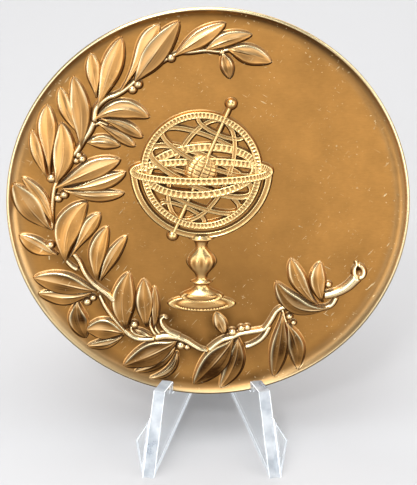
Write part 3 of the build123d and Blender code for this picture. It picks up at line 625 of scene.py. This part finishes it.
def leaf_masks(leaf):
    """Masks of the leaves. Worn is the midrib, as real wear; painted highlights are the lip where it
    faces up, a little of every leaf high on the medal and, high on the medal, the blade's upper half.
    Dark are the grooves and creases, as patina; painted shade is the hollow under the upper lip, the
    blade's lower half and the low leaves as a whole; those listed as darker are darker all over."""
    # painted highlight on the upward lip and the upper halves of high leaves; painted shade under the
    # lip, on lower halves and on low leaves
    high = ramp(leaf.y, -4, 8) * leaf.rise
    low = (ramp(leaf.y, -5, -17) + 0.25 * ramp(leaf.y, -20, -28)) * leaf.rise
    lit = ramp(leaf.upper, 0.3, 0.8) * (1 - 0.38 * ramp(leaf.y, -16, -24))
    upper_half = ramp(leaf.upper, 0.72, 1) * ramp(leaf.inward, 0, 0.2) * (1 - 0.6 * leaf.inward)
    wear_and_highlight = (lit * bell(leaf.from_edge / leaf.lip, 0.9, 0.60)
            + 0.13 * bell(leaf.from_rib, 0, 0.11) * leaf.rib_fade + 0.04 * high
            + 0.14 * upper_half * leaf.full * (0.05 + 0.95 * high))
    lower_half = ramp(leaf.upper, 0.62, -0.38) * ramp(leaf.from_rib, 0, 0.2)
    lower_half *= ramp(leaf.inward, 0, 0.25) * leaf.full * high
    under_lip = (0.12 + 0.55 * leaf.upper) * leaf.dip * leaf.full * (1 - high)
    darkened = np.zeros((len(LEAVES), 1))
    for row, share in DARKER_LEAVES:
        darkened[row] = share
    recess_and_shade = (0.45 * leaf.groove + 0.32 * leaf.crease + 0.55 * lower_half + 0.66 * low
              + under_lip * (1 - 0.35 * low) + darkened * leaf.rise)
    return wear_and_highlight, recess_and_shade


def laurel_leaves(material):
    """Leaves as rings about a bowed midrib, then the wall that joins each to the field, with more
    painted shade on the leaf's lower side."""
    leaf = leaf_rounds()
    height = leaf_heights(leaf)
    wear_and_highlight, recess_and_shade = leaf_masks(leaf)
    off, share, bright, dark = columns_of(WALL)[..., None]
    foot_x = leaf.x[-1] + off * leaf.normal[..., 0]
    foot_y = leaf.y[-1] + off * leaf.normal[..., 1]
    foot_height = field_height(foot_x, foot_y) + LIP_FOOT * share * leaf.edge + sunk(share)
    grid = on_face(np.vstack([leaf.x, foot_x]), np.vstack([leaf.y, foot_y]),
                   np.vstack([height, foot_height]))
    wear_and_highlight = np.vstack([wear_and_highlight, bright + 0 * foot_x])
    # painted shade at the wall's foot, stronger on the leaf's lower side
    recess_and_shade = np.vstack([recess_and_shade, dark * (1.25 - 1.20 * leaf.upper)])
    patches = [(grid[:, k], True, wear_and_highlight[:, k], recess_and_shade[:, k]) for k in range(len(LEAVES))]
    relief("laurel_leaves", patches, material)


def bar_section(half, height):
    """Cross-section of a stem: half an ellipse on its wall, mirrored. Rows: place across,
    height, worn top, dark recess; half and height hold one value for each station."""
    wear_and_highlight = [0.15, 0.25, 0.45, 0.75, 0.9]
    recess_and_shade = [0.4, 0.1, 0.0, 0.0, 0.0]
    rows = [(half + off, height * STEM_SEAT * share + sunk(share), 0.0, dark)
            for off, share, _, dark in WALL[::-1]]
    for turn, bright, dark in zip(np.radians([0, 22, 45, 68, 90]), wear_and_highlight, recess_and_shade):
        level = height * (STEM_SEAT + (1 - STEM_SEAT) * math.sin(turn))
        rows.append((half * math.cos(turn), level, bright, dark))
    return rows + [(-row[0],) + row[1:] for row in rows[-2::-1]]


def stem_patch(start, end, points):
    """One stem: the bar section carried along a smooth path, narrowing evenly, its height
    falling to nothing as a quarter circle over the last bit at each end."""
    length = np.linalg.norm(np.diff(points, axis=0), axis=1).sum()
    path = smooth_path(points, int(length / STEM_STEP) + 6)
    sides = path_sides(path)
    way = np.linspace(0, 1, len(path))
    half = (start + (end - start) * way) * STEM_SPREAD
    ending = np.clip(np.minimum(way, 1 - way) * length / STEM_ROUNDING, 0, 1)
    round_off = np.sqrt(1 - (1 - ending) ** 2)
    height = STEM_HEIGHT * np.clip(half / STEM_FULL_HALF, 0.5, 1.15) * round_off
    rows = bar_section(half * (0.35 + 0.65 * round_off), height)
    place, level = (np.array([row[k] for row in rows]) for k in range(2))
    wear_and_highlight, recess_and_shade = (np.array([row[k] for row in rows])[:, None] for k in (2, 3))
    grid = raised(path[:, 0] + place * sides[:, 0], path[:, 1] + place * sides[:, 1], level)
    return grid[::-1], False, (wear_and_highlight * (0.5 + 0.6 * round_off))[::-1], recess_and_shade[::-1]


def torn_hollow():
    """Dark hollow inside the torn end of the branch: an ellipse whose height rises with the
    square of the way out to the torn rim."""
    share = np.linspace(0, 1, 8)[:, None]
    angle = circle(40)
    x = TORN_END[0] + TORN_HALF[0] * share * np.cos(angle)
    y = TORN_END[1] + TORN_HALF[1] * share * np.sin(angle)
    return raised(x, y, 0.12 + 0.55 * share ** 2), True, 0.0, 1 - 0.3 * share ** 4


def dome_patch(x, y, radius, seat, sides=28):
    """Round berry or ball: a circle's arc turned about its middle, then the wall."""
    turn = np.radians([0, 12, 25, 38, 52, 66, 80, 92, 104])[:, None]
    off, share, bright, dark = columns_of(WALL[1:])
    ring, level = radius * np.sin(turn), seat + radius * np.cos(turn)
    level = np.vstack([level, level[-1] * share + sunk(share)])
    ring = np.vstack([ring, ring[-1] + off])
    wear_and_highlight = np.vstack([0.6 * np.cos(turn).clip(0), 0.3 * bright])
    recess_and_shade = np.vstack([np.clip((turn - 1.3) * 2, 0, 1), dark])
    angle = circle(sides)
    grid = raised(x + ring * np.cos(angle), y + ring * np.sin(angle), level)
    return grid, True, wear_and_highlight, recess_and_shade


def turned(x, y, angle):
    """Place turned about the origin."""
    return x * math.cos(angle) - y * math.sin(angle), x * math.sin(angle) + y * math.cos(angle)


def leaned(x, y):
    """Turns a place about the sphere's middle by its axis's lean, and puts it on the face."""
    x, y = turned(x, y, -SPHERE_TILT)
    return x + EMBLEM_X, y + EMBLEM_Y


def band_patch(path, half, level, marks, closed=True):
    """Flat band with two raised borders, carried along a path; marks is a wave along it that
    raises small bars across its hollow middle."""
    sides = path_sides(path, closed)
    rows = [(half + off, share, 0.0, dark, 0.0) for off, share, _, dark in WALL[:0:-1]]
    rows += [(half * place, share, wear_and_highlight, dark, float(place < 0.6)) for place, share, wear_and_highlight, dark in BAND]
    rows += [(-row[0],) + row[1:] for row in rows[-2::-1]]
    place, share, wear_and_highlight, dark, hollow = columns_of(rows)
    bar = marks * hollow
    grid = raised(path[:, 0] + place * sides[:, 0], path[:, 1] + place * sides[:, 1],
                  level * (share + BAR_RISE * bar) + sunk(share))
    bright = wear_and_highlight + (0.9 - wear_and_highlight) * bar
    return grid[::-1], closed, bright[::-1], (dark * (1 - bar))[::-1]


def ring_path(half_length, half_breadth, count):
    """Ellipse about the origin, and the angle along it."""
    angle = -circle(count)[0]
    return half_length * np.cos(angle), half_breadth * np.sin(angle), angle


def graduation(count, samples):
    """Wave that is one on each mark and nothing between them."""
    place = np.linspace(0, 1, samples, endpoint=False) * count
    return np.clip(2.2 * np.cos(2 * math.pi * place) - 0.6, 0, 1) if count else np.zeros(samples)


def sphere_rings(material):
    """Meridian, equator, tropics, polar circles, ecliptic and colure of the armillary sphere,
    then the horizon and the cradle. The near half of each ring stands higher than its far
    half."""
    patches = []
    for length, breadth, shift, turn, half, middle, rise, marks in RINGS:
        samples = max(marks * 8, 240)
        x, y, angle = ring_path(length * SPHERE_RADIUS, breadth * SPHERE_RADIUS, samples)
        x, y = turned(x, y, math.radians(turn))
        path = np.stack(leaned(x, y + shift * SPHERE_RADIUS), 1)
        level = middle - 0.5 * rise * np.sin(angle)
        patches.append(band_patch(path, half, level, graduation(marks, samples)))
    reach = CRADLE_REACH * SPHERE_RADIUS
    samples = HORIZON_MARKS * 8
    x, y, angle = ring_path(reach, HORIZON_BREADTH * SPHERE_RADIUS, samples)
    path = np.stack([x + EMBLEM_X, y + EMBLEM_Y], 1)
    level = 1.25 - 0.45 * np.sin(angle)
    patches.append(band_patch(path, HORIZON_HALF, level, graduation(HORIZON_MARKS, samples)))
    angle = np.linspace(math.pi, 2 * math.pi, 200)
    path = np.stack([EMBLEM_X + reach * np.cos(angle), EMBLEM_Y + reach * np.sin(angle)], 1)
    patches.append(band_patch(path, CRADLE_HALF, 0.8 + 0 * angle, 0 * angle, closed=False))
    relief("sphere_rings", patches, material)


def sphere_axis(material):
    """Polar rod with a ball at each end, and the globe, whose dome has carved circles of
    latitude and longitude about the leaning axis."""
    half = SPHERE_RADIUS * (1 + AXIS_OVERHANG)
    ends = [leaned(0.0, -half), leaned(0.0, half)]
    patches = [stem_patch(AXIS_HALF, AXIS_HALF, [ends[0], leaned(0.0, 0.0), ends[1]])]
    patches += [dome_patch(x, y, BALL_RADIUS, BALL_SEAT) for x, y in ends]
    around = -circle(144)
    down = np.linspace(0, math.pi / 2, 36)[:, None]
    east = np.sin(down) * np.cos(around)
    north = np.sin(down) * np.sin(around)
    near = np.cos(down) + 0 * around
    latitude = np.arcsin(np.clip(north, -1, 1))
    longitude = np.arctan2(east, near)
    line = np.maximum(np.cos(latitude * 12) ** 24, np.cos(longitude * 6) ** 24)
    off, share, bright, dark = columns_of(WALL) + 0 * around
    east = np.vstack([east, (1 + off / GLOBE_RADIUS) * np.cos(around)])
    north = np.vstack([north, (1 + off / GLOBE_RADIUS) * np.sin(around)])
    level = np.vstack([GLOBE_SEAT + GLOBE_RISE * near - GLOBE_CARVING * line,
                       GLOBE_SEAT * share + sunk(share)])
    grid = raised(*leaned(GLOBE_RADIUS * east, GLOBE_RADIUS * north), level)
    wear_and_highlight = np.vstack([0.6 * (1 - line) * near, bright])
    recess_and_shade = np.vstack([0.8 * line, dark])
    patches.append((grid[:, ::-1], True, wear_and_highlight[:, ::-1], recess_and_shade[:, ::-1]))
    relief("sphere_axis", patches, material)


def turned_column(top):
    """Column in half relief: a half circle across, its half-width read along a smooth profile,
    with ribs cut round its swelling, then the wall on both sides."""
    profile = smooth_path(COLUMN, 150)
    place, half = profile[:, 0], profile[:, 1] * FOOT_HALF_WIDTH
    turn = np.radians(np.linspace(-90, 90, 41))[:, None]
    carved = bell(place, *COLUMN_SWELL) * (0.5 + 0.5 * np.cos(turn * COLUMN_RIBS))
    level = COLUMN_SEAT + (0.35 + 0.42 * half) * np.cos(turn) - 0.16 * carved
    off, share, bright, dark = columns_of(WALL) + 0 * place
    wide = half + off
    edge = COLUMN_SEAT * share + sunk(share)
    x = np.vstack([-wide[::-1], half * np.sin(turn), wide]) + EMBLEM_X
    level = np.vstack([edge[::-1], level, edge])
    wear_and_highlight = np.vstack([bright[::-1], 0.5 * np.cos(turn) * (1 - carved), bright])
    recess_and_shade = np.vstack([dark[::-1], 0.7 * carved, dark])
    return raised(x, top - place * COLUMN_LENGTH + 0 * x, level), False, wear_and_highlight, recess_and_shade


def foot_plate(middle, half_width, half_height, high):
    """Step of the foot: a moulded ellipse, then the wall."""
    rows = [(share, 0.0, tall, bright, dark) for share, tall, bright, dark in PLATE_MOULDING]
    rows += [(1.0, off, tall * 0.85, bright, dark) for off, tall, bright, dark in WALL]
    share, off, tall, bright, dark = columns_of(rows)
    around = circle(96)
    x = EMBLEM_X + (share * half_width + off) * np.cos(around)
    y = middle + (share * half_height + off) * np.sin(around)
    return raised(x, y, high * tall + sunk(tall)), True, bright, dark


def sphere_foot(material):
    """Turned column, two stepped plates and a row of beads on the lower plate's front."""
    top = EMBLEM_Y - CRADLE_REACH * SPHERE_RADIUS
    patches = [turned_column(top)]
    for step, (wide, deep, high) in enumerate(FOOT_PLATES):
        middle = top - COLUMN_LENGTH - (step + 0.5) * FOOT_STEP_HEIGHT
        patches.append(foot_plate(middle, wide * FOOT_HALF_WIDTH, deep * FOOT_STEP_HEIGHT, high))
    for turn in np.radians(np.linspace(200, 340, FOOT_BEADS)):
        x = EMBLEM_X + BEAD_PATH * FOOT_HALF_WIDTH * math.cos(turn)
        y = middle + BEAD_PATH * FOOT_STEP_HEIGHT * math.sin(turn)
        patches.append(dome_patch(x, y, BEAD_RADIUS, BEAD_SEAT, 16))
    relief("sphere_foot", patches, material)


# Finishes

def add(tree, kind, links=(), **values):
    """New shader node with its settings and values; links are pairs of input and socket."""
    node = tree.nodes.new("ShaderNode" + kind)
    for name, value in values.items():
        if name in node.inputs:
            node.inputs[name].default_value = value
        else:
            setattr(node, name, value)
    for name, socket in links:
        tree.links.new(socket, node.inputs[name])
    return node


def noise(tree, place, **values):
    """Noise value at a place."""
    return add(tree, "TexNoise", [("Vector", place)], **values).outputs["Fac"]


def fill(tree, sockets, *values):
    """Feeds sockets with other sockets or with plain values."""
    for socket, value in zip(sockets, values):
        if isinstance(value, bpy.types.NodeSocket):
            tree.links.new(value, socket)
        else:
            socket.default_value = value


def maths(tree, operation, *values, clamp=False):
    """Maths node on sockets or numbers."""
    node = add(tree, "Math", operation=operation, use_clamp=clamp)
    fill(tree, node.inputs, *values)
    return node.outputs[0]


def blend(tree, share, low, high):
    """Colour mix from low to high; each is a socket or a colour."""
    node = add(tree, "Mix", data_type="RGBA")
    fill(tree, [socket for socket in node.inputs if socket.enabled], share, low, high)
    return next(socket for socket in node.outputs if socket.enabled)


def new_group(name, inputs, outputs):
    """Shader node group whose inputs and outputs are given as names with their kinds."""
    group = bpy.data.node_groups.new(name, "ShaderNodeTree")
    for way, sockets in (("INPUT", inputs), ("OUTPUT", outputs)):
        for label, kind in sockets.items():
            group.interface.new_socket(label, in_out=way, socket_type="NodeSocket" + kind)
    given = group.nodes.new("NodeGroupInput").outputs
    return group, given, group.nodes.new("NodeGroupOutput").inputs


def patina_and_light_group():
    """Tone of struck bronze: soft clouds, fine specks drawn out across the medal, darker recesses and
    painted shade, paler worn edges and painted highlights, and a height for its fine satin grain."""
    group, given, result = new_group(
        "struck_patina_and_painted_light",
        {"Place": "Vector", "Body": "Color", "Deep": "Color", "Worn and highlight tone": "Color",
         "Recess and shade": "Float", "Wear and highlight": "Float", "Mottling": "Float", "Grain": "Float"},
        {"Tone": "Color", "Roughness": "Float", "Height": "Float"})
    place = given["Place"]
    drawn = add(group, "Mapping", [("Vector", place)], Scale=(0.4, 1.3, 1))
    cloud = noise(group, place, Scale=0.13, Detail=5.0, Roughness=0.62)
    speck = noise(group, drawn.outputs["Vector"], Scale=2.4, Detail=2.0, Roughness=0.6)
    grain = noise(group, place, Scale=9.0, Detail=2.0, Roughness=0.6)
    clouded = maths(group, "MULTIPLY", maths(group, "SUBTRACT", cloud, 0.5), given["Mottling"])
    specked = maths(group, "MULTIPLY_ADD", speck, 0.24, 0.88)
    level = maths(group, "ADD", clouded, specked)
    body = add(group, "VectorMath", [(0, given["Body"]), ("Scale", level)],
               operation="SCALE")
    broken = maths(group, "MULTIPLY_ADD", speck, 0.3, 0.85)
    deep = maths(group, "MULTIPLY", given["Recess and shade"], broken, clamp=True)
    wear_and_highlight = maths(group, "MULTIPLY", given["Wear and highlight"], broken, clamp=True)
    tone = blend(group, deep, body.outputs["Vector"], given["Deep"])
    rough = maths(group, "MULTIPLY_ADD", speck, 0.10, 0.26)
    rough = maths(group, "MULTIPLY_ADD", given["Recess and shade"], 0.2, rough)
    rough = maths(group, "MULTIPLY_ADD", given["Wear and highlight"], -0.10, rough)
    fill(group, result, blend(group, wear_and_highlight, tone, given["Worn and highlight tone"]), rough,
         maths(group, "MULTIPLY", grain, given["Grain"]))
    return group


def marks_group():
    """Handling marks on the struck face: sparse bright specks and short fine scratches, each the
    top of a noise, the scratches' noise drawn out along two slanting ways."""
    group, given, result = new_group(
        "handling_marks", {"Place": "Vector", "Amount": "Float"}, {"Marks": "Float"})
    region = noise(group, given["Place"], Scale=0.16, Detail=1.0)
    region = maths(group, "MULTIPLY_ADD", region, 5.0, -2.2, clamp=True)
    total = 0.0
    for angle, stretch, scale, least in MARKS:
        turn = add(group, "Mapping", [("Vector", given["Place"])],
                   vector_type="TEXTURE", Rotation=(0, 0, angle), Scale=(stretch, 1, 1))
        value = noise(group, turn.outputs["Vector"], Scale=scale, Detail=1.0)
        mark = maths(group, "MULTIPLY_ADD", value, 22.0, -22.0 * least, clamp=True)
        total = maths(group, "MAXIMUM", total, mark)
    marks = maths(group, "MULTIPLY", total, region)
    fill(group, result, maths(group, "MULTIPLY", marks, given["Amount"]))
    return group


def face_place(tree):
    """Place on the medal's face in millimetres: right, up and out."""
    spot = add(tree, "TexCoord").outputs["Object"]
    tilt = LEAN - math.pi / 2
    y, z = FACE_MIDDLE[1], FACE_MIDDLE[2]
    middle = (0, z * math.sin(tilt) - y * math.cos(tilt), -y * math.sin(tilt) - z * math.cos(tilt))
    turn = add(tree, "Mapping", [("Vector", spot)], vector_type="POINT",
               Location=middle, Rotation=(tilt, 0, 0), Scale=(1 / MM, 1 / MM, 1 / MM))
    return turn.outputs["Vector"]


def new_material(name, **values):
    """Material with a fresh Principled shader and its plain values."""
    material = bpy.data.materials.new(name)
    material.use_nodes = True
    tree = material.node_tree
    tree.nodes.clear()
    shader = add(tree, "BsdfPrincipled")
    add(tree, "OutputMaterial", [("Surface", shader.outputs["BSDF"])])
    for label, value in values.items():
        shader.inputs[label.replace("_", " ")].default_value = value
    return material, tree, shader


def bronze(patina_and_light, marks, name, body, wear_and_highlight, mottling, grain, marked):
    """Golden brown patinated bronze with bright worn edges, painted highlights and painted shade."""
    material, tree, shader = new_material(name, Metallic=0.85, Specular_Tint=EDGE_TINT)
    place = face_place(tree)
    handled = add(tree, "Group", node_tree=marks)
    fill(tree, handled.inputs, place, marked)
    # The worn mask holds real wear and painted highlights, the recess mask patina and painted shade.
    wear_and_highlight_mask = add(tree, "Attribute", attribute_name="wear_and_highlight").outputs["Fac"]
    wear_and_highlight_mask = maths(tree, "MAXIMUM", wear_and_highlight_mask, handled.outputs["Marks"])
    recess_and_shade = add(tree, "Attribute", attribute_name="recess_and_shade").outputs["Fac"]
    coat = add(tree, "Group", node_tree=patina_and_light)
    fill(tree, coat.inputs, place, body, DEEP_TONE, wear_and_highlight, recess_and_shade, wear_and_highlight_mask, mottling, grain)
    bump = add(tree, "Bump", [("Height", coat.outputs["Height"])],
               Strength=0.25, Distance=0.02 * MM)
    tree.links.new(coat.outputs["Tone"], shader.inputs["Base Color"])
    tree.links.new(coat.outputs["Roughness"], shader.inputs["Roughness"])
    tree.links.new(bump.outputs["Normal"], shader.inputs["Normal"])
    return material


def acrylic(name, transmission, least, spread, tone, dull, painted_glow):
    """Moulded acrylic with faint handling marks: roughness runs from least over a spread, and the tone
    is mottled with a duller one. The glow is a painted glow, an emission over the whole finish that
    stands in for the light an acrylic plate leads out through its cut edges."""
    material, tree, shader = new_material(
        name, Transmission_Weight=transmission, IOR=ACRYLIC_IOR, Emission_Color=tone,
        Emission_Strength=painted_glow)
    spot = add(tree, "TexCoord").outputs["Object"]
    smear = noise(tree, spot, Scale=260.0, Detail=3.0)
    rough = maths(tree, "MULTIPLY_ADD", smear, spread, least)
    cloud = maths(tree, "MULTIPLY_ADD", smear, 3.5, -1.25, clamp=True)
    tree.links.new(rough, shader.inputs["Roughness"])
    tree.links.new(blend(tree, cloud, dull, tone), shader.inputs["Base Color"])
    return material


def easel_wing(node, finishes):
    """Wing of the easel: a copy of its solid with the loose triangles joined, the flat faces made whole
    and the edges finely rounded. The two broad faces are clear, the cut faces that look forwards,
    backwards or up satin, and the others take the edge finish with its strong painted glow."""
    shape = bmesh.new()
    shape.from_mesh(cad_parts[node].data)
    bmesh.ops.remove_doubles(shape, verts=shape.verts, dist=1e-6)
    bmesh.ops.dissolve_limit(shape, angle_limit=math.radians(2), verts=shape.verts,
                             edges=shape.edges)
    sharp = [edge for edge in shape.edges if edge.calc_face_angle(0) > math.radians(20)]
    bmesh.ops.bevel(shape, geom=sharp, offset=EDGE_ROUNDING * MM, segments=2, profile=0.5,
                    affect="EDGES", clamp_overlap=True)
    bmesh.ops.remove_doubles(shape, verts=shape.verts, dist=3e-6)
    bmesh.ops.dissolve_degenerate(shape, edges=shape.edges, dist=1e-6)
    mesh = bpy.data.meshes.new(node + "_acrylic")
    shape.to_mesh(mesh)
    shape.free()
    for finish in finishes:
        mesh.materials.append(finish)
    normals = np.array([face.normal[:] for face in mesh.polygons])
    sideways = np.abs(normals[:, 0])
    satin = (sideways < 0.35) & ((np.abs(normals[:, 1]) > 0.5) | (normals[:, 2] > 0.5))
    kind = np.where(sideways > 0.9, 0, np.where(satin, 1, 2))
    mesh.polygons.foreach_set("material_index", kind.astype(np.int32))
    new_piece(node + "_acrylic", mesh, node)


def pale_floor():
    """Plain pale floor."""
    material, _, _ = new_material("pale_floor", Base_Color=(0.50, 0.50, 0.51, 1), Roughness=0.6)
    corners = [(FLOOR_REACH * x, FLOOR_REACH * y, 0) for x, y in ((-1, -1), (1, -1), (1, 1), (-1, 1))]
    mesh = bpy.data.meshes.new("floor")
    mesh.from_pydata(corners, [], [(0, 1, 2, 3)])
    mesh.materials.append(material)
    new_object("floor", mesh)


# Light and camera

def studio():
    """Nine soft boxes, aimed at the medal's middle from above, from the front, from both sides
    and from behind, in an even pale surround."""
    world = bpy.data.worlds.new("studio")
    bpy.context.scene.world = world
    world.use_nodes = True
    tree = world.node_tree
    fill(tree, tree.nodes["Background"].inputs, SURROUND_TINT, SURROUND_STRENGTH)
    for name, place, width, height, power in LIGHTS:
        lamp = bpy.data.lights.new(name, "AREA")
        lamp.shape = "RECTANGLE"
        lamp.size, lamp.size_y, lamp.energy = width, height, power
        light = new_object(name, lamp)
        light.location = place
        aim = Vector(LIGHT_AIM) - Vector(place)
        light.rotation_euler = aim.to_track_quat("-Z", "Y").to_euler()
    bpy.context.scene.view_settings.view_transform = "Standard"


def camera():
    """Camera 34 degrees above the medal's middle, as in the photograph."""
    lens = bpy.data.cameras.new("camera")
    lens.lens = CAMERA_LENS
    lens.clip_start = 0.01
    view = new_object("camera", lens)
    view.location = CAMERA_PLACE
    view.rotation_euler = (math.pi / 2 - CAMERA_DOWN, 0, 0)
    bpy.context.scene.camera = view


patina_and_light = patina_and_light_group()
marks = marks_group()
field_bronze, relief_bronze, emblem_bronze = (bronze(patina_and_light, marks, *row) for row in BRONZES)
medal_disc(field_bronze)
laurel_leaves(relief_bronze)
stems = [stem_patch(*row) for row in STEMS] + [torn_hollow()]
relief("laurel_stems", stems, relief_bronze)
berries = [dome_patch(x, y, size, BERRY_SEAT_SHARE * size + BERRY_SEAT) for x, y, size in BERRIES]
relief("laurel_berries", berries, relief_bronze)
sphere_rings(emblem_bronze)
sphere_axis(emblem_bronze)
sphere_foot(emblem_bronze)
acrylics = [acrylic(*row) for row in ACRYLICS]
for wing in ("stand_wing_left", "stand_wing_right"):
    easel_wing(wing, acrylics)
pale_floor()
studio()
camera()

bpy.context.view_layer.update()
